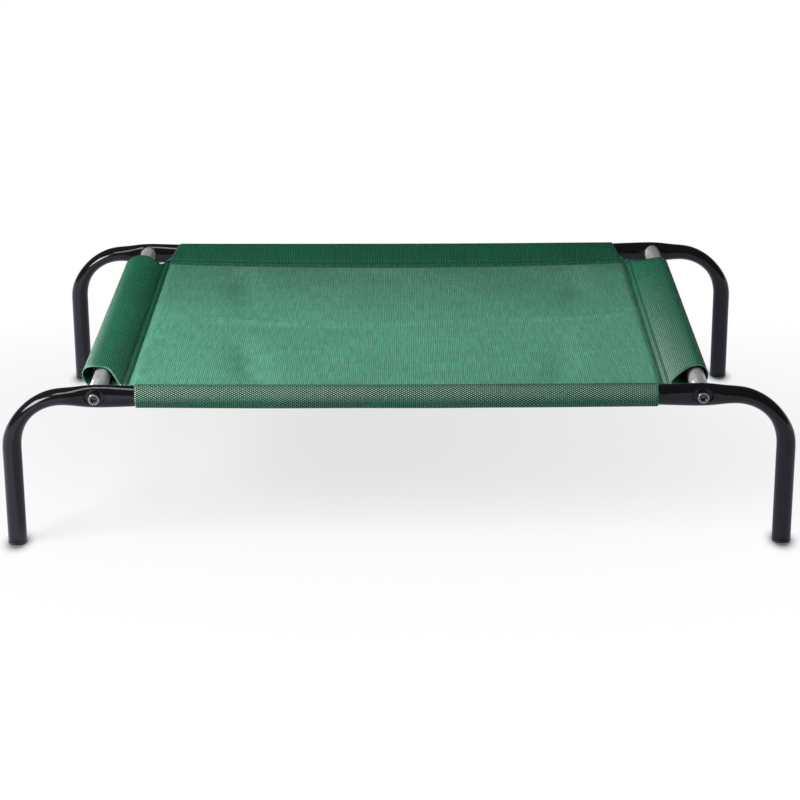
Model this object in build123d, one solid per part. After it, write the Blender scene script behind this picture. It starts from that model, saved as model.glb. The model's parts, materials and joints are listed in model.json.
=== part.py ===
"""Raised dog bed: a bolted tube frame with a mesh sling sewn around its four tubes.

Sizes are in millimetres. The bed stands on Z 0 with its middle on the Z axis. X runs along the
bed and Y runs from the front rail to the rear one.

The two rails are one design, used twice: the rear rail is the front one turned end for end. Each
rail is an arch whose ends are the legs, and it comes apart at a swaged joint in its middle.
"""
from build123d import *
import os
from math import cos, pi, sin

# Layout, between the centre-lines of the tubes.
LEG_SPACING = 890.0           # along the bed, between the two legs of a rail
RAIL_SPACING = 591.0          # across the bed, between the rails
RAIL_HEIGHT = 180.4           # rails and bars above the floor

# Rail tube.
TUBE_DIAMETER = 22.0
TUBE_WALL = 1.2
BEND_RADIUS = 62.0            # of the centre-line
BEND_FLATTENING = 4.6         # thickness lost in the plane of the bend, half way round it
BEND_SPREAD = 2.6             # breadth gained across the plane of the bend there
BEND_DRIFT = 0.6              # how far the middle of the flattened section moves inwards
BEND_LEAD_IN = 20.0           # straight end of the leg that is shaped together with the bend

# Swaged joint in the middle of a rail.
SPIGOT_LENGTH = 48.0
SPIGOT_CLEARANCE = 0.15       # all round, inside the plain half
SWAGE_TAPER = 4.0
SPIGOT_LEAD = 1.0

# Pressed zone of the rail, where a cross bar is bolted to it.
BOLT_INSET = 36.5             # from the end of the bend to the bolt
PRESS_BULGE = 2.5             # gained above and below
PRESS_SQUEEZE = 3.0           # lost at the front and at the back
PRESS_RUN_OUT = 90.0          # from the bolt to where the tube is round again
POCKET_LENGTH = 23.0          # almond-shaped flat for the bolt head, between its points
POCKET_HEIGHT = 17.5
POCKET_DEPTH = 2.4
POCKET_FLARE = 0.22           # widening of the pocket on each side, for each millimetre of depth
POCKET_TIP = 1.0              # rounding of its two points
SEAT_CLEARANCE = 0.5          # all round the cross bar, in the cup that it sits in
SEAT_DEPTH = 6.5
PUNCH_OVERRUN = 1.0           # the punches are drawn out past the tube by this
PRESS_EDGE = 0.8              # rounding of the pocket's and the cup's edges

# Cross bar, held at each end by a threaded plug.
BAR_DIAMETER = 20.0
BAR_WALL = 1.2
PLUG_LENGTH = 32.0
PLUG_CLEARANCE = 0.1          # all round, inside the bar
CRIMP_START = 12.0            # from the end of the bar to its first rolled crimp
CRIMP_PITCH = 7.0
CRIMP_COUNT = 3
CRIMP_WIDTH = 2.4
CRIMP_DEPTH = 0.6

# M8 socket-head bolt.
BOLT_DIAMETER = 8.0
BOLT_LENGTH = 25.0            # under the head
BOLT_CLEARANCE = 0.3          # all round the shank, in the rail
THREAD_CLEARANCE = 0.1        # all round the shank, in the plug
HEAD_DIAMETER = 13.0
HEAD_HEIGHT = 8.0
HEAD_EDGE = 0.8
SOCKET_SIZE = 6.0             # across the flats
SOCKET_DEPTH = 4.0
SOCKET_LEAD = 0.5
BOLT_TIP = 1.0

# Foot: a plastic plug in the end of each leg.
TREAD_HEIGHT = 3.0
TREAD_EDGE = 1.6
STEM_LENGTH = 20.0
STEM_DIAMETER = 14.0
STEM_CLEARANCE = 0.1          # all round the fins, inside the leg
FIN_COUNT = 4
FIN_THICKNESS = 1.6
STEM_HOLLOW = 10.0

# Sling: one cloth with a sleeve along each side.
CLOTH = 1.2
COVER_CLEARANCE = 0.3         # between the cloth and the tallest part of the rail inside it
SEAM_TIP = 0.3                # how far the two layers stand apart at the seam
SEAM_DROP = 4.0               # the seams lie this far below the centre-lines of the tubes
RAIL_SEAM_INSET = 40.0        # from the centre of the rail to its sleeve's seam
BAR_SEAM_INSET = 36.5         # the same at a cross bar
BAR_SLEEVE_SLACK = 3.5        # space between the bar and the cloth above and below it
BAR_SLEEVE_SHIFT = 6.0        # how far the loose loop stands outwards of the bar
PANEL_SAG = 11.0

# Notched corners of the sling, from the centre-lines of the tubes.
RAIL_SLEEVE_SETBACK = 48.5    # from the bar to the end of the rail sleeve, at the rail
NOTCH_INSET_X = 28.5          # from the bar to the inner corner of the notch
NOTCH_INSET_Y = 45.5          # from the rail to the same corner
BAR_SLEEVE_SETBACK = 67.0     # from the rail to the end of the bar sleeve, at its outer edge
NOTCH_ROUNDING = 7.0

# Sizes that follow from the ones above.
TUBE_RADIUS = TUBE_DIAMETER / 2
TUBE_BORE = TUBE_RADIUS - TUBE_WALL
BAR_RADIUS = BAR_DIAMETER / 2
BAR_BORE = BAR_RADIUS - BAR_WALL
LEG_X = LEG_SPACING / 2
RAIL_Y = RAIL_SPACING / 2
BAR_X = LEG_X - BEND_RADIUS - BOLT_INSET
PRESSED_HALF_DEPTH = TUBE_RADIUS - PRESS_SQUEEZE
POCKET_FLOOR = PRESSED_HALF_DEPTH - POCKET_DEPTH      # outwards of the rail's centre-line
SEAT_FLOOR = PRESSED_HALF_DEPTH - SEAT_DEPTH          # inwards of the rail's centre-line
BEND_LENGTH = BEND_RADIUS * pi / 2
BOLT_STATION = BEND_LENGTH + BOLT_INSET
ROUND_STATION = BOLT_STATION + PRESS_RUN_OUT
BAR_HALF_LENGTH = RAIL_Y - SEAT_FLOOR
BEND_STEPS = 8                # spans of the bend between two shaped sections
PRESS_STEPS = 3               # spans from the bend to the bolt
RUN_OUT_STEPS = 5             # spans from the bolt to the round tube


def ramp(start, end, station):
    """Smooth step from 0 at start to 1 at end."""
    share = min(max((station - start) / (end - start), 0.0), 1.0)
    return (1 - cos(pi * share)) / 2


def section_half_sizes(station):
    """Half height and half depth of the rail tube at a distance along it from the leg."""
    bend_middle = BEND_LENGTH / 2
    bent = ramp(0, bend_middle, station) * (1 - ramp(bend_middle, BOLT_STATION, station))
    pressed = ramp(BEND_LENGTH, BOLT_STATION, station) * (1 - ramp(BOLT_STATION, ROUND_STATION, station))
    half_height = TUBE_RADIUS - bent * BEND_FLATTENING / 2 + pressed * PRESS_BULGE
    half_depth = TUBE_RADIUS + bent * BEND_SPREAD / 2 - pressed * PRESS_SQUEEZE
    return half_height, half_depth, bent


def section_plane(station, drift):
    """Plane across the centre-line, with its X along the bed's Y and its Y in the plane of the bend."""
    if station <= 0:
        centre_x = LEG_X - drift
        centre_z = RAIL_HEIGHT - BEND_RADIUS + station
        along = Vector(0, 0, 1)
    elif station <= BEND_LENGTH:
        turn = station / BEND_RADIUS
        reach = BEND_RADIUS - drift
        centre_x = LEG_X - BEND_RADIUS + reach * cos(turn)
        centre_z = RAIL_HEIGHT - BEND_RADIUS + reach * sin(turn)
        along = Vector(-sin(turn), 0, cos(turn))
    else:
        centre_x = LEG_X - BEND_RADIUS - (station - BEND_LENGTH)
        centre_z = RAIL_HEIGHT - drift
        along = Vector(-1, 0, 0)
    return Plane(origin=(centre_x, 0, centre_z), x_dir=(0, 1, 0), z_dir=along)


def evenly(start, end, steps):
    """Stations after start, up to and including end."""
    return [start + (end - start) * (step + 1) / steps for step in range(steps)]


def shaped_stations():
    """Stations of the sections through the bend and the pressed zone."""
    stations = [-BEND_LEAD_IN, -BEND_LEAD_IN / 2, 0.0]
    stations += evenly(0, BEND_LENGTH, BEND_STEPS)
    stations += evenly(BEND_LENGTH, BOLT_STATION, PRESS_STEPS)
    stations += evenly(BOLT_STATION, ROUND_STATION, RUN_OUT_STEPS)
    return stations


def shaped_form(inset):
    """Bend and pressed zone as one smooth solid, smaller than the outside by inset all round."""
    sections = []
    for station in shaped_stations():
        half_height, half_depth, bent = section_half_sizes(station)
        plane = section_plane(station, bent * BEND_DRIFT)
        sections.append(plane * Ellipse(half_depth - inset, half_height - inset))
    return loft(sections)


def turned(profile_points, axis):
    """Solid of revolution from a closed outline of (distance along the axis, radius) points."""
    outline = make_face(Polyline(*profile_points, close=True))
    return revolve(outline, axis=axis)


def leg_tube():
    """Straight leg, from the foot's tread up to the bend."""
    length = RAIL_HEIGHT - BEND_RADIUS - BEND_LEAD_IN - TREAD_HEIGHT
    ring = Circle(TUBE_RADIUS) - Circle(TUBE_BORE)
    return Pos(LEG_X, 0, TREAD_HEIGHT) * extrude(ring, length)


def rail_end(swaged):
    """Straight part of a right-hand half, from the pressed zone to the joint at X 0."""
    start = LEG_X - BEND_RADIUS - (ROUND_STATION - BEND_LENGTH)
    spigot = TUBE_BORE - SPIGOT_CLEARANCE
    if swaged:
        profile = [
            (start, TUBE_RADIUS),
            (SWAGE_TAPER, TUBE_RADIUS),
            (0, spigot),
            (SPIGOT_LEAD - SPIGOT_LENGTH, spigot),
            (-SPIGOT_LENGTH, spigot - SPIGOT_LEAD),
            (-SPIGOT_LENGTH, spigot - TUBE_WALL),
            (0, spigot - TUBE_WALL),
            (SWAGE_TAPER, TUBE_BORE),
            (start, TUBE_BORE),
        ]
    else:
        profile = [(start, TUBE_RADIUS), (0, TUBE_RADIUS), (0, TUBE_BORE), (start, TUBE_BORE)]
    return Pos(0, 0, RAIL_HEIGHT) * turned(profile, Axis.X)


def almond(length, height):
    """Face with two arched sides that meet in slightly rounded points."""
    upper = ThreePointArc((-length / 2, 0), (0, height / 2), (length / 2, 0))
    lower = ThreePointArc((length / 2, 0), (0, -height / 2), (-length / 2, 0))
    outline = make_face(upper + lower)
    return fillet(outline.vertices(), POCKET_TIP)


def pocket_form(grow):
    """Almond-shaped punch from outside the rail to the flat, larger by grow all round."""
    floor_offset = POCKET_FLOOR - grow
    mouth_offset = TUBE_RADIUS + PUNCH_OVERRUN
    flare = 2 * POCKET_FLARE * (mouth_offset - floor_offset)
    length = POCKET_LENGTH + 2 * grow
    height = POCKET_HEIGHT + 2 * grow
    floor_plane = Plane(origin=(BAR_X, -floor_offset, RAIL_HEIGHT), x_dir=(1, 0, 0), z_dir=(0, -1, 0))
    mouth_plane = floor_plane.offset(mouth_offset - floor_offset)
    return loft([floor_plane * almond(length, height), mouth_plane * almond(length + flare, height + flare)])


def seat_form(grow):
    """Round punch from inside the bed to the floor of the bar's cup, larger by grow all round."""
    floor_plane = Plane(origin=(BAR_X, SEAT_FLOOR - grow, RAIL_HEIGHT), x_dir=(-1, 0, 0), z_dir=(0, 1, 0))
    radius = BAR_RADIUS + SEAT_CLEARANCE + grow
    return extrude(floor_plane * Circle(radius), TUBE_RADIUS + PUNCH_OVERRUN - SEAT_FLOOR + grow)


def bolt_hole():
    """Hole through the flat and the floor of the cup."""
    start = Plane(origin=(BAR_X, -PRESSED_HALF_DEPTH, RAIL_HEIGHT), x_dir=(-1, 0, 0), z_dir=(0, 1, 0))
    return extrude(start * Circle(BOLT_DIAMETER / 2 + BOLT_CLEARANCE), 2 * PRESSED_HALF_DEPTH)


def pressed(tube, punch):
    """Tube with the punch's hollow sunk into it and the edge of the hollow rounded."""
    sunk = tube - punch
    rim = new_edges(tube, punch, combined=sunk)
    return fillet(rim, PRESS_EDGE)


def rail_half(swaged):
    """Right-hand half of the front rail, with the rail's centre-line on Y 0."""
    outside = shaped_form(0)
    walls = (pocket_form(TUBE_WALL) + seat_form(TUBE_WALL)) & outside
    shaped = outside - shaped_form(TUBE_WALL) + walls
    shaped = pressed(shaped, pocket_form(0))
    shaped = pressed(shaped, seat_form(0))
    shaped -= bolt_hole()
    return leg_tube() + shaped + rail_end(swaged)


def crimp_rings(radius, depth, width):
    """Rings of a shallow arc's section, as rolled into one end of the bar, about Z from the bar's end."""
    rings = []
    for index in range(CRIMP_COUNT):
        middle = CRIMP_START + index * CRIMP_PITCH
        chord = Line((radius, middle - width / 2), (radius, middle + width / 2))
        dip = ThreePointArc(chord @ 1, (radius - depth, middle), chord @ 0)
        face = Plane.XZ * make_face(chord + dip)
        rings.append(revolve(face, axis=Axis.Z))
    return rings


def cross_bar():
    """Tube between the rails, along Z from 0, with crimps rolled into both ends."""
    length = 2 * BAR_HALF_LENGTH
    bar = extrude(Circle(BAR_RADIUS) - Circle(BAR_BORE), length)
    far_end = Pos(0, 0, length) * Rot(180, 0, 0)
    for groove in crimp_rings(BAR_RADIUS, CRIMP_DEPTH, CRIMP_WIDTH):
        bar -= groove
        bar -= far_end * groove
    for bead in crimp_rings(BAR_BORE, CRIMP_DEPTH, CRIMP_WIDTH):
        bar += bead
        bar += far_end * bead
    return bar


def bar_plug():
    """Threaded plug in the end of a bar, along Z from the bar's end."""
    plug = extrude(Circle(BAR_BORE - PLUG_CLEARANCE) - Circle(BOLT_DIAMETER / 2 + THREAD_CLEARANCE), PLUG_LENGTH)
    groove_depth = CRIMP_DEPTH + PLUG_CLEARANCE
    groove_width = CRIMP_WIDTH + 2 * PLUG_CLEARANCE
    for groove in crimp_rings(BAR_BORE, groove_depth, groove_width):
        plug -= groove
    return plug


def bolt():
    """Socket-head bolt, pointing down Z, with the underside of its head on Z 0."""
    head = extrude(Circle(HEAD_DIAMETER / 2), HEAD_HEIGHT)
    head = fillet(head.edges().group_by(Axis.Z)[-1], HEAD_EDGE)
    shank = extrude(Circle(BOLT_DIAMETER / 2), -BOLT_LENGTH)
    shank = chamfer(shank.edges().group_by(Axis.Z)[0], BOLT_TIP)
    hexagon = RegularPolygon(SOCKET_SIZE / 2, 6, major_radius=False)
    socket = Pos(0, 0, HEAD_HEIGHT) * extrude(hexagon, -SOCKET_DEPTH)
    lead = Pos(0, 0, HEAD_HEIGHT - SOCKET_LEAD / 2) * Cone(SOCKET_SIZE / 2, SOCKET_SIZE / 2 + SOCKET_LEAD, SOCKET_LEAD)
    return head + shank - socket - lead


def foot():
    """Plastic plug for a leg, standing on Z 0: a rounded tread, and a finned stem inside the tube."""
    tread = extrude(Circle(TUBE_RADIUS), TREAD_HEIGHT)
    tread = fillet(tread.edges().group_by(Axis.Z)[0], TREAD_EDGE)
    stem = Pos(0, 0, TREAD_HEIGHT) * extrude(Circle(STEM_DIAMETER / 2), STEM_LENGTH)
    pitch = STEM_LENGTH / FIN_COUNT
    body = tread + stem
    for index in range(FIN_COUNT):
        height = TREAD_HEIGHT + (index + 1) * pitch - FIN_THICKNESS
        body += Pos(0, 0, height) * extrude(Circle(TUBE_BORE - STEM_CLEARANCE), FIN_THICKNESS)
    return body - Pos(0, 0, TREAD_HEIGHT) * extrude(Circle(STEM_HOLLOW / 2), STEM_LENGTH)


def sleeve(radius, shift, seam_inset, half_length):
    """Closed loop of cloth along Z around a tube at the origin, drawn to a seam on its +X side."""
    around = Pos(-shift, 0)
    seam = Pos(seam_inset, -SEAM_DROP)
    outer_edges = (around * Circle(radius + CLOTH)).edges() + (seam * Circle(SEAM_TIP + CLOTH)).edges()
    inner_edges = (around * Circle(radius)).edges() + (seam * Circle(SEAM_TIP)).edges()
    return extrude(make_hull(outer_edges) - make_hull(inner_edges), half_length, both=True)


def panel():
    """Cloth between the four seams, sagging to its middle."""
    seam_x = BAR_X - BAR_SEAM_INSET
    seam_y = RAIL_Y - RAIL_SEAM_INSET
    seam_z = RAIL_HEIGHT - SEAM_DROP
    rows = []
    for x in (-seam_x, 0, seam_x):
        rows.append([Vector(x, y, seam_z) for y in (-seam_y, 0, seam_y)])
    rows[1][1] -= Vector(0, 0, 4 * PANEL_SAG)
    surface = Face.make_bezier_surface(rows)
    return thicken(surface, CLOTH / 2, both=True)


def corner_notch():
    """Prism that clears the cloth from the front right corner."""
    inner = Vector(BAR_X - NOTCH_INSET_X, NOTCH_INSET_Y - RAIL_Y)
    rail_end_point = Vector(BAR_X - RAIL_SLEEVE_SETBACK, -RAIL_Y)
    bar_end_point = Vector(BAR_X + BAR_RADIUS + BAR_SLEEVE_SHIFT, BAR_SLEEVE_SETBACK - RAIL_Y)
    beyond_rail = inner + (rail_end_point - inner) * 2
    beyond_bar = inner + (bar_end_point - inner) * 2
    corner = Vector(beyond_bar.X, beyond_rail.Y)
    outline = make_face(Polyline(inner, beyond_rail, corner, beyond_bar, close=True))
    at_inner = outline.vertices().sort_by_distance(inner)[0]
    outline = fillet(at_inner, NOTCH_ROUNDING)
    return extrude(outline, 2 * RAIL_HEIGHT)


def sling():
    """The whole cloth: a sagging panel, four sleeves and four notched corners."""
    tallest_inside, _, _ = section_half_sizes(BOLT_STATION + RAIL_SLEEVE_SETBACK)
    rail_radius = tallest_inside + COVER_CLEARANCE
    rail_sleeve = sleeve(rail_radius, 0, RAIL_SEAM_INSET, BAR_X - NOTCH_INSET_X)
    bar_radius = BAR_RADIUS + BAR_SLEEVE_SLACK
    bar_sleeve = sleeve(bar_radius, BAR_SLEEVE_SHIFT, BAR_SEAM_INSET, RAIL_Y - RAIL_SEAM_INSET)
    at_front = Plane(origin=(0, -RAIL_Y, RAIL_HEIGHT), x_dir=(0, 1, 0), z_dir=(1, 0, 0))
    at_right = Plane(origin=(BAR_X, 0, RAIL_HEIGHT), x_dir=(-1, 0, 0), z_dir=(0, 1, 0))
    cloth = panel()
    notch = corner_notch()
    for turn in (Rot(0, 0, 0), Rot(0, 0, 180)):
        cloth += turn * at_front.location * rail_sleeve
        cloth += turn * at_right.location * bar_sleeve
    for turn in (Rot(0, 0, 0), Rot(0, 0, 180)):
        cloth -= turn * notch
        cloth -= turn * mirror(notch, about=Plane.YZ)
    return cloth


def corner_location(x_sign, y_sign, outwards):
    """Place of a bolt or plug at one end of a cross bar, its Z pointing out along Y by y_sign."""
    origin = (x_sign * BAR_X, y_sign * (RAIL_Y + outwards), RAIL_HEIGHT)
    return Plane(origin=origin, x_dir=(1, 0, 0), z_dir=(0, y_sign, 0)).location


def assembly():
    """All pieces in place, by name."""
    end_for_end = Rot(0, 0, 180)
    swaged_half = Pos(0, -RAIL_Y, 0) * rail_half(True)
    plain_half = Pos(0, -RAIL_Y, 0) * mirror(rail_half(False), about=Plane.YZ)
    pieces = {
        "front_rail_left": plain_half,
        "front_rail_right": swaged_half,
        "rear_rail_left": end_for_end * swaged_half,
        "rear_rail_right": end_for_end * plain_half,
        "sling_cover": sling(),
    }
    bar, plug, screw, tread = cross_bar(), bar_plug(), bolt(), foot()
    for side, x_sign in (("left", -1), ("right", 1)):
        pieces[f"{side}_cross_bar"] = corner_location(x_sign, 1, -SEAT_FLOOR) * Rot(180, 0, 0) * bar
        for end, y_sign in (("front", -1), ("rear", 1)):
            at_bar_end = corner_location(x_sign, y_sign, -SEAT_FLOOR)
            pieces[f"{side}_bar_{end}_plug"] = at_bar_end * Rot(180, 0, 0) * plug
            pieces[f"{end}_{side}_bolt"] = corner_location(x_sign, y_sign, POCKET_FLOOR) * screw
            pieces[f"{end}_{side}_foot"] = Pos(x_sign * LEG_X, y_sign * RAIL_Y, 0) * tread
    return pieces


if __name__ == "__main__":
    os.makedirs("parts", exist_ok=True)
    for name, piece in assembly().items():
        export_step(piece, f"parts/{name}.step")
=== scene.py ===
"""Raised dog bed: the finishes of its bolted tube frame, and its sewn mesh sling.

Sizes are in metres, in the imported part's own frame: the bed stands on Z 0, X runs along it and
Y runs from the front rail to the rear one.
"""

import json
import logging
import math
from bisect import bisect_right
from dataclasses import dataclass, field
from enum import Enum
from functools import cached_property, partial
from typing import Callable, Dict, Iterable, List, NamedTuple, Sequence, Tuple

import bmesh
import bpy
from mathutils import Matrix, Vector, noise


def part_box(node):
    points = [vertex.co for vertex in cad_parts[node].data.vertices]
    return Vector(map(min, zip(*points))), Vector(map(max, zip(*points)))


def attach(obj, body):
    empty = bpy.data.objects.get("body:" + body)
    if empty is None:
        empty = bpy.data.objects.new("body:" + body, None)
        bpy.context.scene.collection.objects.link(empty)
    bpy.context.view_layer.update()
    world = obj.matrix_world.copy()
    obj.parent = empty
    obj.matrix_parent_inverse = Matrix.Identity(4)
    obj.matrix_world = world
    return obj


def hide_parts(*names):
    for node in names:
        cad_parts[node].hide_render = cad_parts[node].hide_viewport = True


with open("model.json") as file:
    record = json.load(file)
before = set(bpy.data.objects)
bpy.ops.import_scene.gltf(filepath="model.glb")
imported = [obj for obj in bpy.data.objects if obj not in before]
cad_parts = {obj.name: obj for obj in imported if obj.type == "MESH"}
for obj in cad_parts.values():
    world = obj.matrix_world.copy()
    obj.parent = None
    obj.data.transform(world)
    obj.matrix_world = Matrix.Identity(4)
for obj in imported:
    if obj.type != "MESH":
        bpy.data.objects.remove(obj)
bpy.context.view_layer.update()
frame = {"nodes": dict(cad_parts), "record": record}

LOG = logging.getLogger("dog_bed")
MM = 0.001
NOISE_SEED = 7
Point = Tuple[float, float]
Triple = Tuple[float, float, float]
Colour = Triple
Knots = Tuple[Point, ...]
Node = bpy.types.Node
Socket = bpy.types.NodeSocket


class Slot(Enum):
    """The record's material slots."""

    POWDER_COAT = "black_powder_coat"
    ZINC = "zinc_plate"
    PLUG_STEEL = "plug_steel"
    BLACK_OXIDE = "black_oxide"
    FOOT_PLASTIC = "foot_plastic"
    GREEN_MESH = "green_mesh"


class Side(Enum):
    """The two ends of the bed, by the sign of X."""

    LEFT = -1
    RIGHT = 1


class End(Enum):
    """The two long sides of the bed, by the sign of Y."""

    FRONT = -1
    REAR = 1


def placed(name: str, data: bpy.types.ID) -> bpy.types.Object:
    """Puts an object with the given data into the scene.

    Args:
        name: The object's name.
        data: Its mesh, light or camera.

    Returns:
        The object.
    """
    item = bpy.data.objects.new(name, data)
    bpy.context.scene.collection.objects.link(item)
    return item


def middle_of(node: str) -> Triple:
    """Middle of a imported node's box."""
    return tuple((low + high) / 2 for low, high in zip(*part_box(node)))


# ---------------------------------------------------------------------------------------------
# Node tools and the effects that several finishes share
# ---------------------------------------------------------------------------------------------


class NodeBench:
    """Adds nodes to one tree, with their inputs set or joined as they are placed."""

    def __init__(self, tree: bpy.types.NodeTree) -> None:
        """Works on the node tree of a material, a world or a group."""
        self.tree = tree

    @classmethod
    def emptied(cls, owner: bpy.types.ID) -> "NodeBench":
        """Clears the nodes of a material or world and works on its tree.

        Args:
            owner: The material or world.

        Returns:
            The bench.
        """
        owner.use_nodes = True
        owner.node_tree.nodes.clear()
        return cls(owner.node_tree)

    def feed(self, node: Node, inputs: Dict[object, object]) -> None:
        """Sets or joins inputs of a node.

        Args:
            node: The node.
            inputs: Numbers, vectors, colours or output sockets, by the input's name or number.
        """
        for key, value in inputs.items():
            if isinstance(value, Socket):
                self.tree.links.new(value, node.inputs[key])
            elif node.inputs[key].type == "RGBA":
                node.inputs[key].default_value = (*value, 1.0)
            else:
                node.inputs[key].default_value = value

    def put(self, kind: str, inputs: Dict[object, object] = None, **settings: object) -> Node:
        """Adds one node.

        Args:
            kind: The node's type name, after the "ShaderNode" with which all begin.
            inputs: What its inputs are fed.
            settings: The node's own properties.

        Returns:
            The new node.
        """
        node = self.tree.nodes.new("ShaderNode" + kind)
        for name, value in settings.items():
            setattr(node, name, value)
        self.feed(node, inputs or {})
        return node

    def maths(self, operation: str, *values: object) -> Socket:
        """Result of a Math node for numbers or sockets, given in the order of its inputs."""
        return self.put("Math", dict(enumerate(values)), operation=operation).outputs[0]

    def times(self, product: object, *factors: object) -> Socket:
        """Multiplies numbers or sockets.

        Args:
            product: The first of them.
            factors: The others.

        Returns:
            Their product.
        """
        for factor in factors:
            product = self.maths("MULTIPLY", product, factor)
        return product

    def mix(self, factor: object, first: object, second: object) -> Socket:
        """Mixes two numbers: the first at factor 0, the second at factor 1."""
        return self.put("Mix", {0: factor, 2: first, 3: second}).outputs[0]

    def blend(self, factor: object, first: object, second: object, mode: str = "MIX") -> Socket:
        """Mixes two colours: the first at factor 0, the second at factor 1."""
        inputs = {0: factor, 6: first, 7: second}
        return self.put("Mix", inputs, data_type="RGBA", blend_type=mode).outputs[2]

    def spread(self, value: object, span: Point, onto: Point = (0.0, 1.0)) -> Socket:
        """Maps a span of numbers onto another, held at both ends."""
        inputs = {0: value, 1: span[0], 2: span[1], 3: onto[0], 4: onto[1]}
        return self.put("MapRange", inputs).outputs[0]

    def grey(self, level: Socket) -> Socket:
        """The grey of a level."""
        return self.put("CombineColor", {0: level, 1: level, 2: level}).outputs[0]

    def stretched(self, place: Socket, stretch: Sequence[float]) -> Socket:
        """Coordinates multiplied by a factor for each axis."""
        return self.put("Mapping", {0: place, 3: stretch}).outputs[0]

    def object_place(self, stretch: Sequence[float] = (1, 1, 1)) -> Socket:
        """Object coordinates, multiplied by a factor for each axis."""
        return self.stretched(self.put("TexCoord").outputs["Object"], stretch)

    def coord(self, axis: str, place: Socket = None) -> Socket:
        """One coordinate, by its capital letter, of a vector or else of the object's space."""
        return self.put("SeparateXYZ", {0: place or self.object_place()}).outputs[axis]

    def normal(self) -> Socket:
        """The direction that the surface faces."""
        return self.put("NewGeometry").outputs["Normal"]

    def fractal(self, place: Socket, scale: object, detail: float) -> Socket:
        """Noise between 0 and 1, with its repeats per metre and its octaves."""
        return self.put("TexNoise", {"Vector": place, "Scale": scale, "Detail": detail}).outputs[0]

    def vector(self, operation: str, inputs: Dict[object, object], output: str = "Vector") -> Socket:
        """An output of a Vector Math node."""
        return self.put("VectorMath", inputs, operation=operation).outputs[output]

    def bump(self, height: Socket, depth: float, strength: float = 1.0) -> Socket:
        """The normal of a relief whose heights from 0 to 1 span a depth."""
        return self.put("Bump", {"Height": height, "Distance": depth, "Strength": strength}).outputs[0]

    def rays(self, *kinds: str) -> Socket:
        """Mask of some kinds of rays.

        Args:
            kinds: What the Light Path node calls them.

        Returns:
            1 for a ray of any of these kinds, else 0.
        """
        path = self.put("LightPath")
        mask = path.outputs[kinds[0]]
        for kind in kinds[1:]:
            mask = self.maths("MAXIMUM", mask, path.outputs[kind])
        return mask


class Effects:
    """Node groups that several finishes use, each built once."""

    built: Dict[str, bpy.types.NodeTree] = {}

    @classmethod
    def group(cls, name: str, inputs: Dict[str, str], outputs: Dict[str, str],
              wire: Callable[[NodeBench, object], Dict[str, object]]) -> bpy.types.NodeTree:
        """Makes a group, or gives the one made before.

        Args:
            name: The group's name.
            inputs: Kind of each input, by name.
            outputs: Kind of each output, by name.
            wire: Builds the inside from the input sockets and returns the output sockets, by name.

        Returns:
            The group's node tree.
        """
        if name in cls.built:
            return cls.built[name]
        tree = bpy.data.node_groups.new(name, "ShaderNodeTree")
        for direction, sockets in (("INPUT", inputs), ("OUTPUT", outputs)):
            for label, kind in sockets.items():
                tree.interface.new_socket(label, in_out=direction, socket_type="NodeSocket" + kind)
        bench = NodeBench(tree)
        made = wire(bench, tree.nodes.new("NodeGroupInput").outputs)
        bench.feed(tree.nodes.new("NodeGroupOutput"), made)
        cls.built[name] = tree
        return tree

    @classmethod
    def grain(cls) -> bpy.types.NodeTree:
        """Fine grain: a height for bump, and a roughness that wanders about its mean.

        Returns:
            The group's node tree.
        """

        def wire(bench: NodeBench, source: object) -> Dict[str, object]:
            """Two noises, of which the broad one moves the roughness.

            Args:
                bench: The group's bench.
                source: The group's inputs.

            Returns:
                The sockets for its outputs.
            """
            place = bench.object_place()
            wander = bench.maths("SUBTRACT", bench.fractal(place, 22.0, 4.0), 0.5)
            rough = bench.maths("ADD", source["Roughness"], bench.times(wander, source["Wander"]))
            return {"Height": bench.fractal(place, source["Scale"], 3.0), "Roughness": rough}

        inputs = {"Scale": "Float", "Roughness": "Float", "Wander": "Float"}
        return cls.group("fine_grain", inputs, {"Height": "Float", "Roughness": "Float"}, wire)

    @classmethod
    def dust(cls) -> bpy.types.NodeTree:
        """A thin film of dust on what faces up, with tiny specks: lightens the colour a little.

        Returns:
            The group's node tree.
        """
        dust_colour = (0.55, 0.54, 0.52)
        speck_strength = 0.6

        def wire(bench: NodeBench, source: object) -> Dict[str, object]:
            """Patches of film and specks, blended over the colour.

            Args:
                bench: The group's bench.
                source: The group's inputs.

            Returns:
                The socket for its output.
            """
            place = bench.object_place()
            upward = bench.spread(bench.coord("Z", bench.normal()), (0.2, 1.0))
            patches = bench.spread(bench.fractal(place, 34.0, 5.0), (0.42, 0.72), (0.2, 1.0))
            specks = bench.spread(bench.fractal(place, 2100.0, 0.0), (0.74, 0.8))
            amount = bench.maths("ADD", bench.times(upward, patches), bench.times(specks, speck_strength))
            amount = bench.times(amount, source["Amount"])
            return {"Color": bench.blend(amount, source["Color"], dust_colour)}

        return cls.group("settled_dust", {"Color": "Color", "Amount": "Float"}, {"Color": "Color"}, wire)


# ---------------------------------------------------------------------------------------------
# Finishes
# ---------------------------------------------------------------------------------------------


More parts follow.
